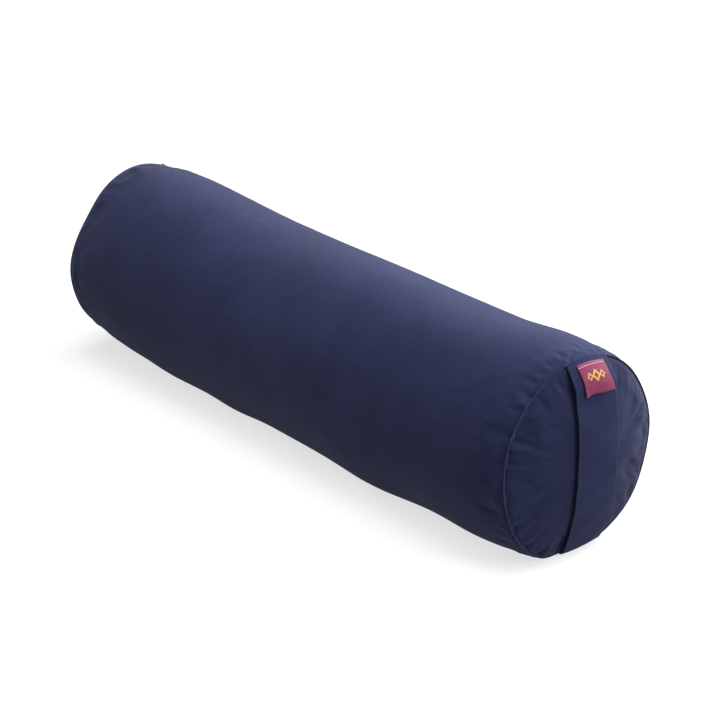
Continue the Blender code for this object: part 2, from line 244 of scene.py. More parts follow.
class Nodes:
    """A short way to write the nodes of a material or a world."""

    def __init__(self, owner, shader, **settings):
        owner.use_nodes = True
        self.owner = owner
        self.tree = owner.node_tree
        self.shader = self.tree.nodes[shader]
        for key, value in settings.items():
            self.shade(key.replace("_", " "), value)

    def feed(self, socket, value):
        """Link a socket to another, or set its value."""
        if isinstance(value, bpy.types.NodeSocket):
            self.tree.links.new(value, socket)
        elif value is not None:
            socket.default_value = value

    def shade(self, key, value):
        self.feed(self.shader.inputs[key], value)

    def add(self, kind, *values, **settings):
        """A new node: values go to its inputs in order, settings to its inputs or properties by name."""
        node = self.tree.nodes.new(kind)
        for key, value in settings.items():
            if key in node.inputs:
                self.feed(node.inputs[key], value)
            else:
                setattr(node, key, value)
        for socket, value in zip(node.inputs, values):
            self.feed(socket, value)
        return node

    def math(self, operation, first, second=None, third=None):
        return self.add("ShaderNodeMath", first, second, third, operation=operation).outputs[0]

    def mix(self, amount, first, second, blend="MIX"):
        node = self.add("ShaderNodeMix", amount, data_type="RGBA", blend_type=blend)
        for socket, value in ((node.inputs[6], first), (node.inputs[7], second)):
            self.feed(socket, (*value, 1) if isinstance(value, tuple) else value)
        return node.outputs[2]

    def noise(self, vector, scale, detail=3.0, roughness=0.55):
        node = self.add("ShaderNodeTexNoise", vector, Scale=scale, Detail=detail, Roughness=roughness)
        return node.outputs[0]

    def scaled(self, vector, x, y, z):
        return self.add("ShaderNodeVectorMath", vector, (x, y, z), operation="MULTIPLY").outputs[0]

    def range(self, value, low, high, to_low, to_high):
        return self.add("ShaderNodeMapRange", value, low, high, to_low, to_high).outputs[0]

    def tones(self, value, first, second, low=0.3, high=0.7):
        """A colour that runs from the first to the second as value goes from low to high."""
        return self.mix(self.range(value, low, high, 0, 1), first, second)

    def axes(self, vector):
        return self.add("ShaderNodeSeparateXYZ", vector).outputs

    def bump(self, height, distance, strength=1.0, after=None):
        node = self.add("ShaderNodeBump", Distance=distance, Strength=strength, Height=height, Normal=after)
        return node.outputs[0]

    def uv(self):
        return self.add("ShaderNodeUVMap", uv_map="weave").outputs[0]

    def object_place(self):
        return self.add("ShaderNodeTexCoord").outputs["Object"]


def material_nodes(name, **settings):
    return Nodes(bpy.data.materials.new(name), "Principled BSDF", **settings)


def weave_height(n, place, thread, twill=0.0):
    """Crossing threads, one thread wide apiece; twill slants the crossings."""
    u, v, _ = n.axes(place)
    if twill:
        u = n.math("MULTIPLY_ADD", v, twill, u)
    step = math.pi / thread
    across = n.math("SINE", n.math("MULTIPLY", u, step))
    along = n.math("SINE", n.math("MULTIPLY", v, step))
    return n.math("MULTIPLY", across, along)


SLUB_WIDTH = 1.6 * MM
SLUB_LENGTH = 40 * MM
DYE_VARIATION = 0.10
# How far the cloth goes towards its paler colour where it is marked: partly real rubbing, partly a painted
# highlight on seam ridges, hem folds and strap edges.
MOST_WEAR_AND_HIGHLIGHT = 0.62


def woven(name, colour, thread=0.55 * MM, relief=0.10 * MM, sheen=0.25, rough=0.85, twill=0.0, wear_and_highlight=None,
          specular=0.35):
    """Plain woven cloth: crossing threads, thicker slub threads both ways and faint uneven dye."""
    n = material_nodes(name, Roughness=rough, Sheen_Weight=sheen, Sheen_Roughness=0.45,
                       Sheen_Tint=(0.94, 0.96, 1.0, 1), Specular_IOR_Level=specular)
    place = n.uv()
    threads = weave_height(n, place, thread, twill)
    warp = n.noise(n.scaled(place, 1 / SLUB_WIDTH, 1 / SLUB_LENGTH, 30), 1.0, 2.0)
    weft = n.noise(n.scaled(place, 1 / SLUB_LENGTH, 1 / SLUB_WIDTH, 30), 1.0, 2.0)
    slubs = n.math("ADD", warp, weft)
    cloudy = n.noise(n.object_place(), 14.0, 3.0)
    dark = tuple(c * (1 - DYE_VARIATION) for c in colour)
    light = tuple(min(1.0, c * (1 + DYE_VARIATION)) for c in colour)
    base = n.tones(cloudy, dark, light, 0.35, 0.65)
    thready = n.range(slubs, 0.75, 1.25, 0.86, 1.14)
    crossing = n.range(threads, -1, 1, 0.90, 1.10)
    shade = n.math("MULTIPLY", thready, crossing)
    grey = n.add("ShaderNodeCombineColor", shade, shade, shade)
    base = n.mix(1.0, base, grey.outputs[0], "MULTIPLY")
    # Paler towards the mesh's marked seams and edges: real wear, and a painted highlight on those raised
    # ridges.
    if wear_and_highlight:
        edge = n.add("ShaderNodeAttribute", attribute_name="wear_and_highlight").outputs["Fac"]
        base = n.mix(n.math("MULTIPLY", edge, MOST_WEAR_AND_HIGHLIGHT), base, wear_and_highlight)
    n.shade("Base Color", base)
    n.shade("Roughness", n.range(slubs, 0.75, 1.25, rough - 0.07, min(1.0, rough + 0.06)))
    fine = n.bump(threads, relief, 0.7)
    n.shade("Normal", n.bump(slubs, 0.10 * MM, 0.6, fine))
    return n.owner


def label_weave():
    """Satin-woven label: fine ribs, a plain row of small lozenges, and darker selvedges."""
    n = material_nodes("label_satin", Roughness=0.55, Sheen_Weight=0.05, Sheen_Roughness=0.4,
                       Specular_IOR_Level=0.08)
    place = n.uv()
    u, v, _ = n.axes(place)
    ribs = n.math("SINE", n.math("MULTIPLY", v, TAU / (0.5 * MM)))
    ground = n.tones(n.noise(n.scaled(place, 300, 900, 30), 1.0), (0.106, 0.0122, 0.0390),
                     (0.127, 0.0165, 0.0487), 0.35, 0.65)
    shape = None
    for middle, half in ((-7.6, 3.6), (0, 5.2), (7.6, 3.6)):
        wide = n.math("ABSOLUTE", n.math("SUBTRACT", u, middle * MM))
        tall = n.math("ABSOLUTE", n.math("SUBTRACT", v, 14.0 * MM))
        outwards = n.math("ADD", wide, n.math("MULTIPLY", tall, 0.8))
        from_line = n.math("ABSOLUTE", n.math("SUBTRACT", outwards, half * MM * 0.72))
        ring = n.math("LESS_THAN", from_line, half * MM * 0.24)
        shape = ring if shape is None else n.math("MAXIMUM", shape, ring)
    stitched = n.math("SINE", n.math("MULTIPLY", n.math("ADD", u, v), TAU / (0.6 * MM)))
    gold = n.tones(stitched, (0.24, 0.135, 0.02), (0.38, 0.24, 0.05), -1, 1)
    selvedge = n.range(n.math("ABSOLUTE", u), 15.0 * MM, 16.6 * MM, 0.0, 0.55)
    n.shade("Base Color", n.mix(shape, n.mix(selvedge, ground, (0.045, 0.008, 0.026)), gold))
    height = n.math("ADD", ribs, n.math("MULTIPLY", shape, 2.0))
    n.shade("Normal", n.bump(height, 0.06 * MM, 0.8))
    return n.owner


def thread_look(name, colour, pitch=0.7 * MM, sheen=0.2):
    """Twisted sewing thread."""
    n = material_nodes(name, Roughness=0.6, Sheen_Weight=sheen, Sheen_Roughness=0.4, Specular_IOR_Level=0.2)
    x, y, z = n.axes(n.object_place())
    slant = n.math("ADD", n.math("ADD", x, y), z)
    twist = n.math("SINE", n.math("MULTIPLY", slant, TAU / pitch))
    dark = tuple(c * 0.75 for c in colour)
    n.shade("Base Color", n.tones(twist, dark, colour, -1, 1))
    n.shade("Normal", n.bump(twist, 0.08 * MM, 0.7))
    return n.owner


def plated_metal():
    """Dulled plating with fine smears along its length."""
    n = material_nodes("plated_metal", Metallic=1.0, Roughness=0.3)
    place = n.object_place()
    smear = n.noise(n.scaled(place, 400, 3000, 3000), 1.0, 4.0)
    n.shade("Base Color", n.tones(smear, (0.11, 0.113, 0.122), (0.18, 0.183, 0.196)))
    n.shade("Roughness", n.range(n.noise(place, 900.0, 4.0), 0.3, 0.7, 0.28, 0.46))
    n.shade("Normal", n.bump(smear, 0.02 * MM, 0.4))
    return n.owner


def moulded_teeth():
    """Slightly glossy dyed plastic."""
    n = material_nodes("moulded_teeth", Roughness=0.4, Specular_IOR_Level=0.5)
    place = n.object_place()
    grain = n.noise(place, 1500.0, 3.0)
    n.shade("Base Color", n.tones(grain, (0.012, 0.016, 0.045), (0.022, 0.027, 0.066)))
    n.shade("Roughness", n.range(grain, 0.3, 0.7, 0.34, 0.52))
    n.shade("Normal", n.bump(grain, 0.03 * MM, 0.5))
    return n.owner


def fluffy(name, colour, scale, relief):
    """Loose fibre: tangled strands at two sizes."""
    n = material_nodes(name, Roughness=1.0, Sheen_Weight=0.5, Sheen_Roughness=0.6)
    place = n.object_place()
    clumps = n.noise(place, scale, 6.0, 0.7)
    strands = n.noise(n.scaled(place, 220, 60, 160), 3.0, 5.0, 0.75)
    dark = tuple(c * 0.82 for c in colour)
    n.shade("Base Color", n.tones(clumps, dark, colour))
    n.shade("Normal", n.bump(strands, relief, 0.8, n.bump(clumps, relief * 3, 0.6)))
    return n.owner


def open_foam():
    """Bonded foam: crumbs of several tones, full of small open cells."""
    n = material_nodes("bonded_foam", Roughness=0.95, Sheen_Weight=0.1)
    place = n.object_place()
    to_cell = n.add("ShaderNodeTexVoronoi", place, Scale=420.0).outputs["Distance"]
    crumbs = n.add("ShaderNodeTexVoronoi", place, Scale=55.0)
    tone = n.tones(n.noise(crumbs.outputs["Position"], 9.0, 1.0), (0.62, 0.50, 0.25), (0.78, 0.72, 0.48),
                   0.35, 0.65)
    n.shade("Base Color", n.mix(n.range(to_cell, 0.0, 0.5, 0.45, 0.0), tone, (0.30, 0.22, 0.10)))
    n.shade("Normal", n.bump(to_cell, 0.5 * MM, 0.8))
    return n.owner


NAVY = (0.0105, 0.0130, 0.0350)
# Paler navy for seam ridges, hem folds and strap edges: real wear plus a painted highlight.
WEAR_AND_HIGHLIGHT_NAVY = (0.045, 0.052, 0.095)
COTTON = woven("navy_cotton_cloth", NAVY, wear_and_highlight=WEAR_AND_HIGHLIGHT_NAVY, sheen=0.055, specular=0.015)
STRAP_CLOTH = woven("navy_strap_cloth", (0.0118, 0.0146, 0.0385), thread=0.6 * MM, twill=0.5, wear_and_highlight=WEAR_AND_HIGHLIGHT_NAVY,
                    sheen=0.045, specular=0.015)
TAPE_CLOTH = woven("zip_tape_cloth", (0.011, 0.013, 0.034), thread=0.4 * MM, relief=0.12 * MM, rough=0.8,
                   sheen=0.05, specular=0.1)
CALICO = woven("calico_cloth", (0.60, 0.53, 0.41), thread=0.45 * MM, sheen=0.1)
LABEL = label_weave()
NAVY_THREAD = thread_look("navy_sewing_thread", (0.028, 0.033, 0.072), sheen=0.05)
SEAM_THREAD = thread_look("seam_sewing_thread", (0.022, 0.026, 0.060), pitch=0.9 * MM, sheen=0.05)
PINK_THREAD = thread_look("pale_pink_thread", (0.34, 0.22, 0.27), pitch=0.5 * MM)
METAL = plated_metal()
TEETH = moulded_teeth()
WADDING = fluffy("fibre_wadding_fluff", (0.82, 0.81, 0.78), 60.0, 0.5 * MM)
FOAM = open_foam()


# ---------------------------------------------------------------- the body's shape

def meridian(tube_x, dome_share):
    """Rows from the rear panel's middle to the front panel's: (place, radius, region).

    region is -1 on the rear panel, 0 on the tube and 1 on the front panel.
    """
    rows = [(-HALF - CROWN * (1 - q ** CROWN_POWER), SEAM_RADIUS * q, -1) for q in dome_share]
    rows += [(x, float(body_radius(x)), 0) for x in tube_x]
    rows += [(HALF + CROWN * (1 - q ** CROWN_POWER), SEAM_RADIUS * q, 1) for q in dome_share[::-1]]
    return np.array(rows)


# Where the filling stands out or falls in at each end: angle, half-width in radians, height in millimetres
FRONT_CORNERS = [(0.85, 0.33, 0.6), (-0.72, 0.33, 3.0), (0.1, 0.3, 2.0)]
REAR_CORNERS = [(1.6, 0.3, 1.6), (2.45, 0.30, -3.2), (3.1, 0.25, 1.8), (4.0, 0.33, -3.8)]


def sag(x, angles):
    """How far the filling has shifted the body's outline: down along the top, out over the floor in front."""
    x, turn = x[:, None], angles[None]
    top = -7.4 * MM * rise(x, -320, 200) * rise(-x, -300, 90)
    total = top * around(turn, 1.25, 0.75)
    spread = 4.6 * MM * rise(x, -270, 80) * rise(-x, -375, 80)
    for middle, reach, height in ((-95, 35, 2.2), (126, 58, 5.4), (270, 40, 1.5)):
        spread = spread + height * MM * bump(x, middle * MM, reach * MM)
    total = total + spread * around(turn, 4.05, 0.42)
    for near, corners in ((rise(x, 285, 45), FRONT_CORNERS), (rise(-x, 255, 75), REAR_CORNERS)):
        for angle, width, height in corners:
            total = total + near * height * MM * around(turn, angle, width)
    beside_zip = smooth((np.abs(turn_between(turn, ZIP_ANGLE)) - 0.12) / 0.35)
    return total * np.where(np.abs(x) < 280 * MM, beside_zip, 1.0)


def settled(x, radius, angles, inset, floor):
    """Points of a settled round shape: x, radius and floor by row, angles by column."""
    moved = sag(x, angles) * np.clip(radius / SEAM_RADIUS, 0, 1)[:, None]
    r = (radius - inset)[:, None] + moved
    y = r * np.cos(angles)[None]
    z = soft_floor(AXIS_HEIGHT + r * TALLNESS * np.sin(angles)[None], floor[:, None])
    return np.stack([np.broadcast_to(x[:, None], y.shape), y, z], 2)


def surface(x, radius, angles, inset=0.0):
    """Points of the body's outer surface, or of one that lies this far inside it."""
    floor = floor_under(x) + np.clip(np.abs(x) - HALF, 0, None) * 0.7
    return settled(x, radius, angles, inset, inset + floor)


def arc_length(rows):
    """Distance along the cloth from the first row, by row."""
    step = np.hypot(np.diff(rows[:, 0]), np.diff(rows[:, 1]))
    return np.concatenate([[0], np.cumsum(step)])


SIM_COLUMNS = 104
SIM_STEP = 6 * MM
SIM_START_INSET = 5 * MM
SIM_FRAMES = 20
SIM_CAP = 9 * MM
SIM_DETAIL = 2.2 * MM
CLOTH_SETTINGS = {"quality": 6, "mass": 0.25, "tension_stiffness": 14, "compression_stiffness": 14,
                  "shear_stiffness": 6, "bending_stiffness": 0.4, "air_damping": 2, "use_pressure": True,
                  "uniform_pressure_force": 4, "vertex_group_shrink": "drawn_in", "shrink_min": 0.0,
                  "shrink_max": 0.11}


def simulate_cloth():
    """Blow the sewn cover up round its filling, with its end seams drawn in so that the cloth gathers there.

    Returns the rows it was made on and, on each, how far the cloth's fine unevenness stands out.
    """
    share = np.linspace(0.06, 1, int(SEAM_RADIUS / SIM_STEP))[:-1]
    rows = meridian(np.linspace(-HALF, HALF, int(2 * HALF / SIM_STEP)), share)
    angles = np.arange(SIM_COLUMNS) * TAU / SIM_COLUMNS
    start = surface(rows[:, 0] * (1 - SIM_START_INSET / HALF), rows[:, 1], angles, SIM_START_INSET)
    start += np.random.default_rng(20).normal(0, 0.25 * MM, start.shape)
    shaped = make_object("cloth_trial", start.reshape(-1, 3), tube_faces(len(rows), SIM_COLUMNS), COTTON)
    drawn = shaped.vertex_groups.new(name="drawn_in")
    for r, distance in enumerate(arc_from_seam(rows)):
        weight = float(bump(distance, 0, 9 * MM))
        if weight > 0.02:
            drawn.add(list(range(r * SIM_COLUMNS, (r + 1) * SIM_COLUMNS)), weight, "REPLACE")
    cloth = shaped.modifiers.new("cloth", "CLOTH")
    for setting, value in CLOTH_SETTINGS.items():
        setattr(cloth.settings, setting, value)
    cloth.settings.effector_weights.gravity = 0
    cloth.collision_settings.use_collision = False
    cloth.point_cache.frame_start = 1
    cloth.point_cache.frame_end = SIM_FRAMES
    for step in range(1, SIM_FRAMES + 1):
        bpy.context.scene.frame_set(step)
    graph = bpy.context.evaluated_depsgraph_get()
    made = shaped.evaluated_get(graph).to_mesh()
    after = np.zeros(start.size, np.float32)
    made.vertices.foreach_get("co", after)
    bpy.data.objects.remove(shaped, do_unlink=True)
    bpy.context.scene.frame_set(1)
    moved = after.reshape(start.shape) - start
    length = np.linalg.norm(moved, axis=2, keepdims=True)
    moved *= np.minimum(1, SIM_CAP / np.maximum(length, 1e-9))
    outward = (moved * grid_normals(start)).sum(2)
    detail = outward - blurred(outward, 4, 9)
    detail -= detail.mean(axis=1, keepdims=True)
    return rows, SIM_DETAIL * np.tanh(detail / SIM_DETAIL)


def arc_from_seam(rows):
    """Signed distance along the cloth from the nearest end seam, by row."""
    length = arc_length(rows)
    on_tube = np.flatnonzero(rows[:, 2] == 0)
    first, last = length[on_tube[0]], length[on_tube[-1]]
    return np.where(length < (first + last) / 2, length - first, last - length)


def blurred(field, down, along):
    """Blur a field that closes round its second index."""
    def kernel(width):
        reach = np.arange(-2 * width, 2 * width + 1)
        weight = np.exp(-(reach / width) ** 2)
        return weight / weight.sum()
    wide = np.concatenate([field[:, -3 * along:], field, field[:, :3 * along]], 1)
    wide = np.apply_along_axis(lambda row: np.convolve(row, kernel(along), "same"), 1, wide)
    wide = wide[:, 3 * along:-3 * along]
    tall = np.pad(wide, ((3 * down, 3 * down), (0, 0)), mode="edge")
    tall = np.apply_along_axis(lambda col: np.convolve(col, kernel(down), "same"), 0, tall)
    return tall[3 * down:-3 * down]


def resampled(field, rows, fine_rows, angles):
    """Read a coarse field at the fine rows and angles."""
    fine, coarse = arc_length(fine_rows), arc_length(rows)
    at = np.interp(fine, coarse * fine[-1] / coarse[-1], np.arange(len(rows)))
    low = np.clip(at.astype(int), 0, len(rows) - 2)
    part = smooth(at - low)[:, None]
    turn = (angles % TAU) / TAU * SIM_COLUMNS
    left = turn.astype(int) % SIM_COLUMNS
    right = (left + 1) % SIM_COLUMNS
    side = smooth(turn - np.floor(turn))[None]
    upper = field[low][:, left] * (1 - side) + field[low][:, right] * side
    lower = field[low + 1][:, left] * (1 - side) + field[low + 1][:, right] * side
    return upper * (1 - part) + lower * part


# Rows of cloth near a seam, in millimetres from it, close together where it turns sharply
SEAM_STEPS = [0, 0.5, 1.0, 1.6, 2.3, 3.2, 4.4, 5.8, 7.6, 9.8, 12.4, 15.4, 19, 23, 27.5, 32.5, 38, 44]


def fine_rows():
    """Rows of the finished cover: close at the seams, and exact at the ends of the zip's slot."""
    near = HALF - np.array(SEAM_STEPS) * MM
    shoulder = np.linspace(near[-1], SLOT_HALF_LENGTH, 14)[1:]
    middle = np.linspace(SLOT_HALF_LENGTH, -SLOT_HALF_LENGTH, 91)[1:-1]
    right = np.concatenate([near, shoulder])
    tube_x = np.concatenate([-right, middle[::-1], right[::-1]])
    from_rim = np.array(SEAM_STEPS[1:] + [50, 56, 62, 68, 74, 80, 85, 89, 92]) * MM
    return meridian(tube_x, np.array(sorted(1 - from_rim / SEAM_RADIUS)))


def fine_angles():
    """Columns: close and exact beside the zip, even elsewhere."""
    beside = np.array([-10.5, -8, -6.2, -5, -1.7, 1.7, 5, 6.2, 8, 10.5]) * MM / (HALF_WIDTH * TALLNESS)
    rest = np.linspace(beside[-1], TAU + beside[0], 281)[1:-1]
    return ZIP_ANGLE + np.concatenate([beside, rest])


def gathers(angles, waves, seed):
    """Uneven ripples round a seam, from -1 to 1."""
    draw = np.random.default_rng(seed)
    total = np.zeros_like(angles)
    for wave in waves:
        total += draw.uniform(0.4, 1.0) * np.cos(wave * angles + draw.uniform(0, TAU))
    swell = 0.6 + 0.4 * np.cos(3 * angles + draw.uniform(0, TAU)) * np.cos(angles + draw.uniform(0, TAU))
    return total / len(waves) ** 0.5 * swell


# Single folds at the front seam: angle, distance it reaches in millimetres, half-width in radians, height in
# millimetres, and how many radians it turns over 10 mm
PANEL_FOLDS = [(2.68, 46, 0.040, -3.2, 0), (2.77, 48, 0.036, 2.0, 0), (2.91, 34, 0.036, -1.9, 0),
               (2.98, 30, 0.03, 1.1, 0), (3.30, 20, 0.04, -1.0, 0), (3.62, 28, 0.036, -1.8, 0),
               (3.70, 28, 0.03, 1.3, 0), (3.93, 28, 0.036, -2.0, 0), (4.02, 24, 0.03, 1.0, 0),
               (4.16, 28, 0.036, -2.2, 0), (4.24, 28, 0.03, 1.4, 0), (4.42, 28, 0.034, -2.2, 0),
               (4.50, 24, 0.03, 1.2, 0), (0.10, 18, 0.05, -1.1, 0), (0.22, 20, 0.04, 0.8, 0),
               (5.9, 22, 0.05, -0.8, 0), (2.2, 24, 0.04, -0.8, 0)]
TUBE_FOLDS = [(2.24, 15, 0.050, -3.2, 0.02), (2.34, 18, 0.032, 2.0, 0.03), (2.68, 24, 0.040, -2.4, 0),
              (1.78, 30, 0.026, 1.8, -0.11), (1.70, 28, 0.028, -1.6, -0.11), (4.20, 26, 0.04, -1.2, 0),
              (3.75, 20, 0.04, -0.9, 0), (0.6, 22, 0.05, -0.8, 0)]
# The rear seam has the first few of these folds, turned this far round
REAR_FOLD_TURN = 1.1
DEEPEST_FOLD = 2.9 * MM

# Slow lumps of the filling: x and angle of the middle, reach along, reach around in radians, height; lengths
# are in millimetres
LUMPS = [(-60, 1.9, 70, 0.8, -1.6), (60, 1.75, 80, 0.8, 1.2), (215, 1.9, 55, 0.9, 1.2),
         (-190, 1.8, 80, 0.8, 1.0), (-250, 3.4, 60, 0.8, 0.8), (-90, 4.0, 80, 0.7, -1.2),
         (30, 3.6, 80, 0.8, 0.8), (150, 4.1, 70, 0.7, -0.9), (200, 3.3, 60, 0.7, -0.8),
         (-20, 2.7, 90, 0.7, -0.6), (120, 2.6, 80, 0.6, 0.5), (-150, 2.8, 70, 0.6, 0.5)]


def folds(listed, distance, angles):
    """Each fold starts at the seam and fans out as it dies away."""
    total = 0
    for angle, reach, width, height, skew in listed:
        fan = width * (0.55 + distance / (40 * MM))
        along = np.clip(distance / (1.5 * MM), 0, 1) * bump(distance, 0, reach * MM * 0.6)
        total = total + height * MM * along * around(angles - skew * distance / (10 * MM), angle, fan)
    return total


def body_relief(rows, angles, sim):
    """How far the cloth stands off the plain shape, by row and column."""
    x, radius = rows[:, 0][:, None], rows[:, 1][:, None]
    distance = np.abs(arc_from_seam(rows))[:, None]
    on_tube = (rows[:, 2] == 0)[:, None]
    front = x > 0
    turn = angles[None]
    relief = np.zeros((len(rows), len(angles)))
    if sim is not None:
        relief += resampled(sim[1], sim[0], rows, angles) * rise(distance, 0, 10) * rise(radius, 25, 35)
    valley = -1.4 * MM * bump(distance, 0, 4.5 * MM)
    groove = np.where(on_tube, -0.5, -0.9) * MM * bump(distance, 1.4 * MM, 1.0 * MM)
    ridge = 1.3 * MM * bump(distance, 0, 0.75 * MM)
    relief += (valley + groove + ridge) * np.where(front, 1.0, 0.65)
    swell = np.clip(distance / (9 * MM), 0, 1) ** 0.8 * np.exp(-distance / (17 * MM)) * 2.2
    tube_ripple = np.where(front, gathers(turn, (23, 31, 41, 53), 3), gathers(turn, (21, 29, 43, 55), 4))
    panel_ripple = np.where(front, gathers(turn, (19, 27, 37, 47), 5), gathers(turn, (20, 28, 36, 49), 6))
    panel_ripple = panel_ripple * (1 - 0.5 * around(turn, 0, 0.9))
    relief += 0.34 * MM * swell * np.where(on_tube, tube_ripple, panel_ripple)
    for is_here, listed, at_rear in ((on_tube, TUBE_FOLDS, 5), (~on_tube, PANEL_FOLDS, 8)):
        rear_folds = folds(listed[:at_rear], distance, turn + REAR_FOLD_TURN)
        relief += is_here * np.where(front, folds(listed, distance, turn), rear_folds)
    for place, angle, reach, width, height in LUMPS:
        relief += on_tube * height * MM * bump(x, place * MM, reach * MM) * around(turn, angle, width)
    calm_x = rise(np.abs(x) - SLOT_HALF_LENGTH, 8, 30)
    calm_turn = smooth((np.abs(turn_between(turn, ZIP_ANGLE)) - 0.10) / 0.25)
    relief *= np.where(on_tube, np.maximum(calm_x, calm_turn), 1.0)
    return np.maximum(relief, -DEEPEST_FOLD)


def seam_wander(rows, angles):
    """How far the end seams stray along X, as sewn seams do, by row and column."""
    near = bump(arc_from_seam(rows), 0, 30 * MM)[:, None]
    turn = angles[None]
    front = 2.6 * MM * around(turn, 3.45, 0.75) + 0.5 * MM * np.cos(3 * turn + 1.0)
    rear = 1.2 * MM * np.cos(2 * turn + 0.6) + 0.5 * MM * np.cos(5 * turn)
    return near * np.where((rows[:, 0] > 0)[:, None], front, rear)


def body_grid():
    """Rows, angles and points of the finished cover."""
    rows, angles = fine_rows(), fine_angles()
    sim = simulate_cloth()
    points = surface(rows[:, 0], rows[:, 1], angles)
    points[:, :, 0] += seam_wander(rows, angles)
    normals = grid_normals(points)
    points = points + normals * body_relief(rows, angles, sim)[:, :, None]
    lifted = floor_under(rows[:, 0]) + np.clip(np.abs(rows[:, 0]) - HALF, 0, None) * 0.5
    points[:, :, 2] = soft_floor(points[:, :, 2], lifted[:, None], 0.5 * MM)
    return rows, angles, points


AXIS = np.array([0, 0, AXIS_HEIGHT])
# Seam allowance, from its cut edge to the seam: distance in from the seam, and shift along the body on the
# tube's side of it and on the panel's side
ALLOWANCE = [(9 * MM, 1.4 * MM, 1.0 * MM), (4 * MM, 0.8 * MM, 0.6 * MM), (1 * MM, 0.4 * MM, 0.4 * MM)]
ALLOWANCE_ROWS = len(ALLOWANCE)


def turned_in(points, inward, shift=0.0):
    """A row of cloth set in from a row at an end of the body."""
    away = (points - AXIS) * np.array([0, 1, 1])
    row = points - away / np.linalg.norm(away, axis=1, keepdims=True) * inward
    row[:, 0] += shift
    return row


def crease_rows(obj, rows, columns):
    """Shade both sides of these rows of a grid on their own, as at a folded edge."""
    for edge in obj.data.edges:
        first, second = (v // columns for v in edge.vertices)
        edge.use_edge_sharp = first == second and first in rows


# Share of the paler colour by distance from a seam: wear plus a painted highlight along the seam's ridge.
def wear_and_highlight_by(distance):
    return bump(distance, 0, 0.9 * MM)


def build_end_panel(side, rows, angles, points):
    name = "front" if side > 0 else "rear"
    chosen = np.flatnonzero(rows[:, 2] == side)
    seam = np.flatnonzero(rows[:, 2] == 0)[-1 if side > 0 else 0]
    order = np.concatenate([[seam], chosen if side > 0 else chosen[::-1]])
    hem = [turned_in(points[seam], inward, -side * shift) for inward, _, shift in ALLOWANCE]
    grid = np.concatenate([hem, points[order]])
    distance = np.concatenate([[step[0] for step in ALLOWANCE], np.abs(arc_from_seam(rows))[order]])
    columns = len(angles)
    count = len(grid) * columns
    flat = np.concatenate([grid.reshape(-1, 3), grid[-1].mean(0)[None]])
    faces = grid_faces(len(grid), columns, True) + fan_faces(count - columns, count, columns)
    if side < 0:
        faces = [f[::-1] for f in faces]
    # Paler at the seam's ridge: wear and a painted highlight.
    wear_and_highlight = np.concatenate([np.repeat(wear_and_highlight_by(distance), columns), [0]])
    obj = make_object(f"end_panel_{name}", flat, faces, COTTON, flat[:, [1, 2]], attributes={"wear_and_highlight": wear_and_highlight})
    crease_rows(obj, (ALLOWANCE_ROWS,), columns)
    stands_for(obj, f"cover_end_{name}")


def build_tube(rows, angles, points):
    chosen = np.flatnonzero(rows[:, 2] == 0)
    grid = points[chosen]
    columns = len(angles)
    rear = [turned_in(grid[0], inward, shift) for inward, shift, _ in ALLOWANCE]
    front = [turned_in(grid[-1], inward, -shift) for inward, shift, _ in ALLOWANCE[::-1]]
    grid = np.concatenate([rear, grid, front])
    x = np.pad(rows[chosen, 0], ALLOWANCE_ROWS, mode="edge")
    hem = [step[0] for step in ALLOWANCE]
    distance = np.concatenate([hem, HALF - np.abs(rows[chosen, 0]), hem[::-1]])
    uvs = np.stack(np.broadcast_arrays(angles[None] * HALF_WIDTH, x[:, None]), 2).reshape(-1, 2)
    offset = turn_between(angles, ZIP_ANGLE) * HALF_WIDTH * TALLNESS
    faces = []
    for face in grid_faces(len(grid), columns, True):
        row, column = divmod(face[0], columns)
        in_x = abs(x[row] + x[row + 1]) / 2 < SLOT_HALF_LENGTH
        in_y = abs(offset[column] + offset[face[1] % columns]) / 2 < SLOT_HALF_WIDTH
        if not (in_x and in_y and abs(offset[column]) < 2 * SLOT_HALF_WIDTH):
            faces.append(face)
    # Paler at both seam ridges: wear and a painted highlight.
    obj = make_object("cover_tube_cloth", grid.reshape(-1, 3), faces, COTTON, uvs,
                      attributes={"wear_and_highlight": np.repeat(wear_and_highlight_by(distance), columns)}, wrap=TAU * HALF_WIDTH)
    crease_rows(obj, (ALLOWANCE_ROWS, len(grid) - 1 - ALLOWANCE_ROWS), columns)
    hem_the_slot(obj)
    stands_for(obj, "cover_tube")


def zip_frame():
    """Zip axes: X along the body, Y downwards over the cover, Z straight out of the cover."""
    normal = Vector((0, math.cos(ZIP_ANGLE) * TALLNESS, math.sin(ZIP_ANGLE))).normalized()
    down = normal.cross(Vector((1, 0, 0)))
    height = AXIS_HEIGHT + HALF_WIDTH * TALLNESS * math.sin(ZIP_ANGLE)
    origin = Vector((0, HALF_WIDTH * math.cos(ZIP_ANGLE), height))
    matrix = Matrix.Identity(4)
    for column, axis in enumerate((Vector((1, 0, 0)), down, normal, origin)):
        matrix.col[column][:3] = axis
    return matrix


ZIP = zip_frame()


def from_zip(x, y, z):
    """A point given in the zip's axes, with z measured from the curved cover."""
    return ZIP @ Vector((x, y, z - y * y / (2 * BACK_CURVE)))


# Rows of the slot's hem: spread of the slot in millimetres, depth below the cover in millimetres, and share
# of the paler colour, which is wear plus a painted highlight on the hem's folded edge
HEM_ROWS = [(-0.25, 0.10, 0.8), (-0.32, 0.45, 0.3), (-0.05, 0.85, 0.0), (5.5, 1.02, 0.0)]


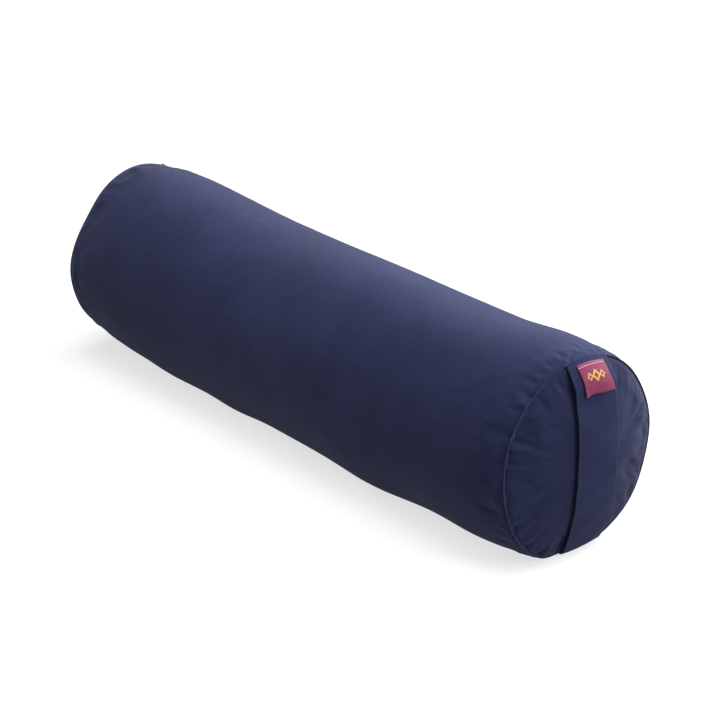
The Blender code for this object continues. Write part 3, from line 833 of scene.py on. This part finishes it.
def hem_the_slot(obj):
    """Fold the cloth under all round the zip's slot."""
    back = ZIP.inverted()

    def is_slot(edge):
        if len(edge.link_faces) != 1:
            return False
        return all(abs((back @ v.co).y) < SLOT_HALF_WIDTH * 1.3 and abs(v.co.x) < SLOT_HALF_LENGTH * 1.01
                   for v in edge.verts)

    with editing(obj) as bm:
        bmesh.ops.delete(bm, geom=[v for v in bm.verts if not v.link_faces], context="VERTS")
        wear_and_highlight = bm.verts.layers.float["wear_and_highlight"]
        ring = [e for e in bm.edges if is_slot(e)]
        for spread, depth, wear_and_highlight_share in HEM_ROWS:
            made = bmesh.ops.extrude_edge_only(bm, edges=ring)["geom"]
            ring = [e for e in made if isinstance(e, bmesh.types.BMEdge)]
            for vert in {v for e in ring for v in e.verts}:
                x, y = (back @ vert.co).xy
                if abs(abs(x) - SLOT_HALF_LENGTH) < (0.5 + abs(spread)) * MM:
                    x = math.copysign(SLOT_HALF_LENGTH + spread * MM, x)
                if abs(y) > 3.5 * MM:
                    y = math.copysign(SLOT_HALF_WIDTH + spread * MM, y)
                vert.co = from_zip(x, y, -depth * MM)
                # Paler at the hem's fold: wear and a painted highlight.
                vert[wear_and_highlight] = wear_and_highlight_share
        for face in bm.faces:
            face.smooth = True


# ---------------------------------------------------------------- handle strap and label

STRAP_STANDOFF = 1.6 * MM
STRAP_ARCH = 3.4 * MM
STRAP_THICK = 1.9 * MM
BLEND_SHARE = 0.30
STITCH_LINE = 0.91


def strap_line(share, y):
    """A point over the end panel; share runs from -1 at the bottom seam to 1 at the top seam."""
    half_height = SEAM_RADIUS * TALLNESS * np.sqrt(1 - (y / SEAM_RADIUS) ** 2)
    z = AXIS_HEIGHT + share * half_height
    span = np.abs(share)
    bow = CROWN * (1 - span ** CROWN_POWER) + STRAP_STANDOFF * (1 - span ** 6)
    bow = bow + STRAP_ARCH * bump(share, 0.80, 0.13)
    x = HALF + bow + 0.5 * MM - 0.6 * MM * smooth((span - 0.93) / 0.07)
    floor = 0.6 * MM + floor_under(x) + np.clip(x - HALF, 0, None) * 0.35
    return np.stack([x, np.broadcast_to(y, z.shape), soft_floor(z, floor, 3 * MM)], -1)


def strap_frame(share, y):
    """Points on the strap line and the directions straight out of it."""
    points = strap_line(share, y)
    tangent = strap_line(share + 0.004, y) - points
    normal = np.cross(tangent, np.array([0, 1.0, 0]))
    normal /= np.linalg.norm(normal, axis=2, keepdims=True)
    return points, normal * np.sign(normal[:, :, :1] + 1e-9)


def strap_swell(share, middle):
    """Crown across the strap and its ripples; middle runs from -1 at one edge to 1 at the other."""
    crown = 0.5 * MM * (1 - middle ** 2) * (1 - share ** 2)
    ripple = 0.25 * MM * np.sin(share * 9 + middle * 2.0) + 0.18 * MM * np.sin(share * 21 + 1.3 - middle * 3)
    return crown, ripple


def pressed_at_seam(share):
    """The strap is thinner where the seam holds it down."""
    return 1 - 0.35 * smooth((np.abs(share) - 0.9) / 0.1)


def strap_section():
    """Outline across the strap, with round edges: (distance across, height)."""
    half, edge = STRAP_WIDTH / 2, STRAP_THICK / 2
    flat_half = half - 2 * edge
    turns = np.linspace(-1.57, 1.57, 7)
    left = [(-half + edge * (1 - math.cos(a)), edge + edge * math.sin(a)) for a in turns]
    top = [(across, STRAP_THICK) for across in np.linspace(-flat_half, flat_half, 22)]
    right = [(-across, height) for across, height in left[::-1]]
    under = [(across, 0.0) for across in np.linspace(flat_half, -flat_half, 12)]
    return np.array(left + top + right + under)


def strap_surface(shares, section):
    """Sweep the section down the strap line, with a crease and a line of stitching along each edge."""
    across, thickness = section[:, 0][None], section[:, 1][None]
    share = np.repeat(shares[:, None], len(section), 1)
    middle = across / (STRAP_WIDTH / 2)
    y = STRAP_Y + across * (1 - 0.03 * bump(share, -1.0, 0.25)) + 0.8 * MM * np.sin(share * 2.4 + 0.4)
    crown, ripple = strap_swell(share, middle)
    crease = -0.35 * MM * bump(middle, 0.80, 0.035) + 0.22 * MM * bump(middle, 0.88, 0.04)
    sewn = -0.25 * MM * (bump(middle, STITCH_LINE, 0.02) + bump(middle, -STITCH_LINE, 0.02))
    cup = -0.9 * MM * bump(share, 0.86, 0.14) * np.clip(-middle, 0, 1) ** 2
    height = thickness * pressed_at_seam(share) + crown + ripple + cup
    height = height + (crease + sewn) * smooth(thickness / STRAP_THICK)
    points, normal = strap_frame(share, y)
    return points + normal * height[:, :, None], y, share


def strap_half(name, shares, nodes):
    section = strap_section()
    points, y, share = strap_surface(shares, section)
    uvs = np.stack([y, share * SEAM_RADIUS * 1.12], 2).reshape(-1, 2)
    # Paler along both rounded edges: wear, and a painted highlight where the edges catch the light.
    at_edge = np.abs(section[:, 0]) > STRAP_WIDTH / 2 - 0.8 * MM
    wear_and_highlight = np.tile(np.where(at_edge, 0.55, 0.0), len(shares))
    obj = make_object(name, points.reshape(-1, 3), tube_faces(len(shares), len(section)), STRAP_CLOTH, uvs,
                      attributes={"wear_and_highlight": wear_and_highlight})
    face_out(obj)
    smooth_by_angle(obj, 60)
    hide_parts(*nodes)
    return obj


def lifted_with_strap(obj, upper):
    """Fixed to the cover at the seam, and carried by the grip further along."""
    sign = 1 if upper else -1
    reach = SEAM_RADIUS * TALLNESS
    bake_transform(obj, "bolster", "handle", start=(HALF, STRAP_Y, AXIS_HEIGHT + sign * reach),
             end=(HALF, STRAP_Y, AXIS_HEIGHT + sign * reach * BLEND_SHARE))


def stitch_row(path, normals, length, gap, thick):
    """Short rounded stitches laid end to end along a path of points."""
    at = np.concatenate([[0], np.cumsum(np.linalg.norm(np.diff(path, axis=0), axis=1))])
    rings, sides = 4, 6
    points, faces = [], []
    place = 0.0
    while place + length < at[-1]:
        shares = np.linspace(0, 1, rings)
        centres = np.stack([np.interp(place + shares * length, at, path[:, k]) for k in range(3)], 1)
        outward = np.stack([np.interp(place + shares * length, at, normals[:, k]) for k in range(3)], 1)
        outward /= np.linalg.norm(outward, axis=1, keepdims=True)
        along = centres[-1] - centres[0]
        faces += tube_faces(rings, sides, len(points))
        for share, centre, normal in zip(shares, centres, outward):
            side = np.cross(along / np.linalg.norm(along), normal)
            radius = thick / 2 * (0.55 + 0.45 * math.sin(math.pi * (0.1 + 0.8 * share)))
            sunk = centre - normal * 0.35 * thick * (2 * share - 1) ** 2
            for a in np.arange(sides) * TAU / sides:
                points.append(sunk + normal * radius * math.sin(a) + side * radius * math.cos(a))
        place += length + gap
    return points, faces


def stitches(name, rows, material):
    """One piece from several rows of stitches."""
    points, faces = [], []
    for row_points, row_faces in rows:
        faces += [tuple(len(points) + i for i in face) for face in row_faces]
        points += row_points
    obj = make_object(name, points, faces, material)
    face_out(obj)
    return obj


def strap_stitching(name, shares, upper):
    rows = []
    for middle in (-STITCH_LINE, STITCH_LINE):
        path = strap_surface(shares, np.array([[middle * STRAP_WIDTH / 2, STRAP_THICK]]))[0][:, 0]
        normal = np.cross(np.gradient(path, axis=0), np.array([0, 1.0, 0]))
        normal *= np.sign(normal[:, :1])
        rows.append(stitch_row(path, normal, 2.6 * MM, 0.7 * MM, 0.5 * MM))
    obj = stitches(name, rows, NAVY_THREAD)
    lifted_with_strap(obj, upper)


def build_strap():
    """The strap in two halves that meet in its middle, each fixed at its own seam."""
    upper_rows = np.concatenate([np.linspace(0, 0.86, 60), np.linspace(0.86, 1.0, 20)[1:]])
    upper = strap_half("handle_strap_upper", upper_rows, ("handle_anchor_top", "handle_grip"))
    lower = strap_half("handle_strap_lower", -upper_rows[::-1], ("handle_anchor_bottom",))
    for obj, is_upper in ((upper, True), (lower, False)):
        lifted_with_strap(obj, is_upper)
    strap_stitching("strap_stitches_upper", np.linspace(0.002, 0.965, 90), True)
    strap_stitching("strap_stitches_lower", np.linspace(-0.965, -0.002, 90), False)


LABEL_TOP = 0.955
LABEL_DROP = 0.262
LABEL_THICK = 0.45 * MM


def label_surface(across, down, lift):
    """across runs from -1 to 1, and down from 0 at the seam to 1 at the free edge, which curls a little."""
    slant = 1 - 0.027 * across
    wave = 1 + 0.020 * np.sin(across * 5.0 + 0.7) * down
    share = LABEL_TOP - LABEL_DROP * down * slant * wave
    y = LABEL_Y + across * LABEL_WIDTH / 2 - 3.0 * MM * (1 - down)
    y = y - 1.0 * MM * down * smooth((1 - across) / 2)
    crown, ripple = strap_swell(share, (y - STRAP_Y) / (STRAP_WIDTH / 2))
    curl = 0.7 * MM * down ** 5 + 2.4 * MM * down ** 2.5 * smooth((across + 0.3) / 1.3)
    curl = curl + 0.4 * MM * np.abs(across) ** 6 * down + 0.35 * MM * np.sin(across * 4.2 + 1.0) * down ** 2
    height = STRAP_THICK * pressed_at_seam(share) + crown + np.maximum(ripple, 0) + 0.30 * MM + curl + lift
    points, normal = strap_frame(share, y)
    return points + normal * height[:, :, None]


def build_label():
    rows, columns = 30, 33
    across, down = np.meshgrid(np.linspace(-1, 1, columns), np.linspace(0, 1, rows))
    layers = [label_surface(across, down, lift).reshape(-1, 3) for lift in (LABEL_THICK, 0.0)]
    uv = np.stack([across * LABEL_WIDTH / 2, down * 33 * MM], 2).reshape(-1, 2)
    obj = make_object("label_cloth", np.concatenate(layers), two_sided_faces(rows, columns), LABEL,
                      np.concatenate([uv, uv]))
    face_out(obj)
    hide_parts("woven_label")
    lifted_with_strap(obj, True)
    across, down = np.meshgrid(np.linspace(-0.95, 0.97, 40), np.array([0.085]))
    path = label_surface(across, down, LABEL_THICK + 0.12 * MM)[0]
    normals = label_surface(across, down, LABEL_THICK + 1 * MM)[0] - path
    row = stitch_row(path, normals, 1.9 * MM, 0.2 * MM, 1.0 * MM)
    line = stitches("label_stitches", [row], PINK_THREAD)
    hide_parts("label_thread")
    lifted_with_strap(line, True)


# ---------------------------------------------------------------- zip

# Section of one tape: distance from the chain's line, height of its top and its underside, in millimetres
TAPE_SECTION = [(0.04, -0.98, -1.22), (1.2, -0.98, -1.22), (2.0, -0.96, -1.22), (2.5, -0.7, -1.1),
                (2.9, -0.1, -0.6), (3.2, 0.08, -0.54), (3.7, 0.1, -0.55), (4.1, 0.02, -0.51)]
TAPE_SECTION += [(across, 0, -0.5) for across in (4.6, 6, 8, 10, 12, 14, 15.7)] + [(16.0, -0.15, -0.42)]


def zip_tape(name, side):
    """Ribbed tape; its inner edge dips under the teeth to meet that of the other tape."""
    places = np.linspace(-TAPE_HALF, TAPE_HALF, 122)
    points, uvs = [], []
    for layer in (1, 2):
        for place in places:
            for section in TAPE_SECTION:
                points.append(from_zip(place, side * section[0] * MM, TAPE_TOP + section[layer] * MM))
                uvs.append((section[0] * MM, place))
    faces = two_sided_faces(len(places), len(TAPE_SECTION))
    obj = make_object(f"zip_tape_cloth_{name}", points, faces, TAPE_CLOTH, uvs)
    face_out(obj)
    stands_for(obj, f"zip_tape_{name}")


# One moulded tooth, from its foot to its rounded head beyond the chain's line: distance from the line and
# half-width, in millimetres
TOOTH_OUTLINE = [(1.35, 0.95), (0.75, 0.90), (0.2, 0.82), (-0.15, 0.88), (-0.5, 1.00), (-0.75, 0.90),
                 (-0.90, 0.50)]
# Its section: share of the half-width, height in millimetres
TOOTH_SECTION = [(-1, -0.5), (-1, 0.5), (-0.72, 0.7), (0.72, 0.7), (1, 0.5), (1, -0.5), (0.72, -0.7),
                 (-0.72, -0.7)]
CORD_SIDES = 10
CORD_RINGS = 112


def zip_teeth(name, side, shift):
    """A row of teeth moulded on a cord that bulges between them."""
    points, faces = [], []
    chain_end = SLIDER_X + 1.9 * MM
    x = -CHAIN_HALF + 0.3 * MM + shift
    while x + TOOTH_WIDTH < chain_end:
        faces += tube_faces(len(TOOTH_OUTLINE), len(TOOTH_SECTION), len(points))
        for y, half in TOOTH_OUTLINE:
            for along, height in TOOTH_SECTION:
                points.append(ZIP @ Vector((x + TOOTH_WIDTH / 2 + along * half * MM, side * y * MM,
                                            TOOTH_MIDDLE + height * MM)))
        x += TOOTH_PITCH
    faces += tube_faces(CORD_RINGS, CORD_SIDES, len(points))
    for place in np.linspace(-CHAIN_HALF, chain_end, CORD_RINGS):
        pinch = 1 - 0.10 * math.cos((place + CHAIN_HALF - shift) / TOOTH_PITCH * TAU)
        for a in np.arange(CORD_SIDES) * TAU / CORD_SIDES + 0.31:
            points.append(ZIP @ Vector((place, side * (1.95 * MM + 0.64 * MM * pinch * math.cos(a)),
                                        TOOTH_MIDDLE + 0.68 * MM * pinch * math.sin(a))))
    obj = make_object(f"zip_teeth_row_{name}", points, faces, TEETH)
    face_out(obj)
    smooth_by_angle(obj, 40)
    stands_for(obj, f"zip_teeth_{name}")


def softened_copy(name, node, width, body="bolster"):
    """A CAD part's own shape with its edges rounded."""
    obj = bpy.data.objects.new(name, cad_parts[node].data.copy())
    bpy.context.scene.collection.objects.link(obj)
    with editing(obj) as bm:
        bmesh.ops.remove_doubles(bm, verts=bm.verts, dist=1e-6)
        bmesh.ops.dissolve_limit(bm, angle_limit=math.radians(1), verts=bm.verts, edges=bm.edges)
    rounded = obj.modifiers.new("rounded", "BEVEL")
    rounded.width = width
    rounded.segments = 2
    rounded.limit_method = "ANGLE"
    rounded.angle_limit = math.radians(30)
    graph = bpy.context.evaluated_depsgraph_get()
    obj.data = bpy.data.meshes.new_from_object(obj.evaluated_get(graph), depsgraph=graph)
    obj.modifiers.clear()
    obj.data.name = name
    obj.data.materials.clear()
    obj.data.materials.append(METAL)
    smooth_by_angle(obj, 35)
    stands_for(obj, node, body)


def build_zip():
    for side, name, shift in ((-1, "upper", 0.0), (1, "lower", TOOTH_PITCH / 2)):
        zip_tape(name, side)
        zip_teeth(name, side, shift)
    softened_copy("zip_slider_body", "zip_slider", 0.22 * MM, "slider")
    softened_copy("zip_pull_tab", "zip_pull", 0.28 * MM, "pull_tab")
    for node in ("zip_top_stop_upper", "zip_top_stop_lower", "zip_bottom_stop"):
        softened_copy(node + "_clip", node, 0.25 * MM)
    out, end, lift = 8 * MM, SLOT_HALF_LENGTH + 3 * MM, 0.2 * MM
    corners = [(-end, -out), (end, -out), (end, out), (-end, out)]
    rows = []
    for first, last in zip(corners, corners[1:] + corners[:1]):
        line = np.linspace(first, last, 9)
        path = np.array([from_zip(x, y, lift) for x, y in line])
        normals = np.array([from_zip(x, y, lift + 1 * MM) for x, y in line]) - path
        rows.append(stitch_row(path, normals, 2.6 * MM, 0.6 * MM, 0.55 * MM))
    obj = stitches("zip_stitches", rows, NAVY_THREAD)
    stands_for(obj, "zip_topstitch")


# ---------------------------------------------------------------- inside

INNER_COLUMNS = 96
LINER_INSET = 3.9 * MM
LINER_END_INSET = 4.7 * MM
LINER_DOME = 16.3 * MM
PAD_INSET = 5.5 * MM
PAD_DOME = 16.0 * MM
WRAP_INSET = 5.6 * MM
WRAP_BORE = 70.4 * MM
CORE_RADIUS = 69.9 * MM


def build_inside():
    """Liner, wadding and core, each with the uneven surface of its own stuff."""
    angles = np.arange(INNER_COLUMNS) * TAU / INNER_COLUMNS
    inner_half = HALF - 2 * MM
    tube_x = np.linspace(-inner_half, inner_half, 90)
    points = surface(tube_x, body_radius(tube_x), angles, LINER_INSET)
    ripple = 0.12 * MM * (np.sin(tube_x[:, None] * 150 + 3 * np.sin(angles * 5)[None])
                          + np.sin(angles * 17)[None] * np.cos(tube_x * 60)[:, None])
    points -= grid_normals(points) * np.abs(ripple)[:, :, None]
    uvs = np.stack(np.broadcast_arrays(angles[None] * HALF_WIDTH, tube_x[:, None]), 2).reshape(-1, 2)
    faces = grid_faces(len(tube_x), INNER_COLUMNS, True)
    obj = make_object("liner_tube_cloth", points.reshape(-1, 3), faces, CALICO, uvs, wrap=TAU * HALF_WIDTH)
    stands_for(obj, "liner_tube")
    for side, end in ((1, "front"), (-1, "rear")):
        share = np.linspace(1, 0.03, 26)
        rim = SEAM_RADIUS - LINER_END_INSET
        dome_x = inner_half + LINER_DOME * (1 - share ** CROWN_POWER)
        x = side * np.concatenate([[inner_half - 8 * MM], dome_x])
        r = np.concatenate([[rim + 0.5 * MM], rim * share])
        obj = cap_of(f"liner_{end}_panel", x, r, LINER_END_INSET, angles, CALICO, False)
        stands_for(obj, f"liner_end_{end}")
        dome_x = HALF - 3.2 * MM + PAD_DOME * (1 - share ** CROWN_POWER)
        x = side * np.concatenate([np.full(8, HALF - 9.7 * MM), dome_x])
        r = (SEAM_RADIUS - PAD_INSET) * np.concatenate([np.linspace(0.1, 0.97, 8), share])
        obj = cap_of(f"wadding_{end}_pad", x, r, PAD_INSET, angles, WADDING, True)
        stands_for(obj, f"wadding_pad_{end}")
    build_wrap_and_core(angles)


def build_seam_stitches(rows, points):
    """Lockstitches on the seam allowance inside each end seam."""
    on_tube = np.flatnonzero(rows[:, 2] == 0)
    for end, seam in (("front", on_tube[-1]), ("rear", on_tube[0])):
        ring = turned_in(points[seam], 2.8 * MM)
        path = np.concatenate([ring, ring[:1]])
        normals = (path - AXIS) * np.array([0, 1, 1])
        row = stitch_row(path, normals, 2.6 * MM, 0.5 * MM, 0.7 * MM)
        obj = stitches(f"seam_stitches_{end}", [row], SEAM_THREAD)
        stands_for(obj, f"{end}_seam_thread")


def cap_of(name, x, r, inset, angles, material, is_closed):
    """A turned cap or lens, closed at its middle, and at its back too if is_closed."""
    grid = settled(x, r, angles, 0, inset + floor_under(x))
    draw = np.random.default_rng(len(name) * 7 + (x[0] > 0))
    rough_by = 0.25 * MM if is_closed else 0.05 * MM
    grid = grid + draw.normal(0, rough_by, grid.shape) * np.array([1, 0, 0])
    columns = len(angles)
    count = len(x) * columns
    points = np.concatenate([grid.reshape(-1, 3), [grid[-1].mean(0)], [grid[0].mean(0)]])
    faces = grid_faces(len(x), columns, True) + fan_faces(count - columns, count, columns)
    if is_closed:
        faces += [face[::-1] for face in fan_faces(0, count + 1, columns)]
    else:
        points = points[:-1]
    obj = make_object(name, points, faces, material, points[:, [1, 2]])
    face_out(obj)
    return obj


def build_wrap_and_core(angles):
    """A wrap of wadding round a foam cylinder with eased edges."""
    reach = HALF - 10 * MM
    x = np.linspace(-reach, reach, 80)
    outer = surface(x, body_radius(x), angles, WRAP_INSET)
    fluff = blurred(np.random.default_rng(8).normal(0, 1.0 * MM, outer.shape[:2]), 1, 1)
    outer = outer - grid_normals(outer) * np.abs(fluff)[:, :, None] * 0.7
    bore_height = AXIS_HEIGHT + WRAP_BORE * TALLNESS * np.sin(angles)[None]
    inner = np.stack(np.broadcast_arrays(x[:, None], WRAP_BORE * np.cos(angles)[None], bore_height), 2)
    grid = np.concatenate([outer, inner[::-1]])
    count = grid.shape[0] * grid.shape[1]
    faces = [tuple(i % count for i in face) for face in grid_faces(len(grid) + 1, len(angles), True)]
    obj = make_object("wadding_wrap_fibre", grid.reshape(-1, 3), faces, WADDING)
    face_out(obj)
    stands_for(obj, "wadding_wrap")
    end_r = CORE_RADIUS * np.linspace(0.1, 0.9, 6)
    end_r = np.concatenate([end_r, [CORE_RADIUS - 3 * MM, CORE_RADIUS - 1 * MM]])
    end_x = np.concatenate([np.full(6, reach), [reach - 0.5 * MM, reach - 2 * MM]])
    along = np.linspace(-reach + 5 * MM, reach - 5 * MM, 70)
    x = np.concatenate([-end_x, along, end_x[::-1]])
    r = np.concatenate([end_r, np.full(len(along), CORE_RADIUS), end_r[::-1]])
    obj = cap_of("foam_core_bonded", x, r, 5.4 * MM, angles, FOAM, True)
    stands_for(obj, "foam_core")


# ---------------------------------------------------------------- camera, light and floor

# Place and power of each softbox; azimuth, elevation and strength of each broad sky light
SOFTBOXES = [((0.15, 0.5, 1.5), 13.0), ((0.6, 0.6, 1.2), 13.0), ((-0.1, 1.1, 0.9), 12.0),
             ((0.25, 0.9, 0.5), 25.0), ((-0.04, -0.36, 0.80), 6.5)]
SKY_LIGHTS = [(0, 90, 2.6), (118, 30, 2.9)]
CAMERA_AZIMUTH = 50.12
CAMERA_ELEVATION = 23.38
CAMERA_DISTANCE = 2.6
CAMERA_LENS_MM = 128.762
AIM_RIGHT = 20.384 * MM
AIM_DOWN = 19.758 * MM


def build_stage():
    bpy.context.scene.view_settings.view_transform = "Standard"
    back = direction_of(CAMERA_AZIMUTH, CAMERA_ELEVATION)
    right = Vector((0, 0, 1)).cross(back).normalized()
    up = back.cross(right)
    target = Vector((0, 0, 0.1))
    place = target + back * CAMERA_DISTANCE
    aim = target + right * AIM_RIGHT - up * AIM_DOWN
    data = bpy.data.cameras.new("camera")
    data.sensor_width = 36
    data.lens = CAMERA_LENS_MM
    data.clip_end = 400
    camera = bpy.data.objects.new("camera", data)
    camera.location = place
    camera.rotation_euler = (aim - place).to_track_quat("-Z", "Y").to_euler()
    bpy.context.scene.collection.objects.link(camera)
    bpy.context.scene.camera = camera
    for place, power in SOFTBOXES:
        add_light("softbox", "AREA", Vector(place), target, power, shape="DISK", size=0.8)
    for azimuth, elevation, strength in SKY_LIGHTS:
        above = direction_of(azimuth, elevation) * 3
        add_light("sky", "SUN", above, Vector((0, 0, 0)), strength, angle=math.radians(30))
    bpy.context.scene.world = studio_world()
    corners = [(-80, -80, 0), (80, -80, 0), (80, 80, 0), (-80, 80, 0)]
    make_object("studio_floor", corners, [(0, 1, 2, 3)], floor_look())


def direction_of(azimuth, elevation):
    """Degrees: azimuth 0 is -Y and 90 is +X."""
    a, e = math.radians(azimuth), math.radians(elevation)
    return Vector((math.sin(a) * math.cos(e), -math.cos(a) * math.cos(e), math.sin(e)))


def add_light(name, kind, place, target, energy, **settings):
    data = bpy.data.lights.new(name, kind)
    data.energy = energy
    for setting, value in settings.items():
        setattr(data, setting, value)
    lamp = bpy.data.objects.new(name, data)
    lamp.location = place
    lamp.rotation_euler = (target - place).to_track_quat("-Z", "Y").to_euler()
    bpy.context.scene.collection.objects.link(lamp)


def studio_world():
    """Pale at the horizon, where a low camera sees past the floor, and dim overhead."""
    n = Nodes(bpy.data.worlds.new("studio"), "Background", Color=(0.97, 0.98, 1.0, 1))
    upwards = n.axes(n.add("ShaderNodeTexCoord").outputs["Generated"])[2]
    n.shade("Strength", n.range(upwards, 0.13, 0.25, 1.0, 0.06))
    return n.owner


def floor_look():
    """White paper, slightly self-lit."""
    n = material_nodes("studio_floor_paper", Roughness=0.95, Specular_IOR_Level=0.05,
                       Emission_Strength=0.70, Emission_Color=(1, 1, 1, 1))
    n.shade("Base Color", n.mix(n.noise(n.object_place(), 3.0), (0.185, 0.185, 0.185), (0.195, 0.195, 0.195)))
    return n.owner


build_stage()
ROWS, ANGLES, POINTS = body_grid()
build_inside()
build_tube(ROWS, ANGLES, POINTS)
build_end_panel(1, ROWS, ANGLES, POINTS)
build_end_panel(-1, ROWS, ANGLES, POINTS)
build_seam_stitches(ROWS, POINTS)
build_strap()
build_label()
build_zip()
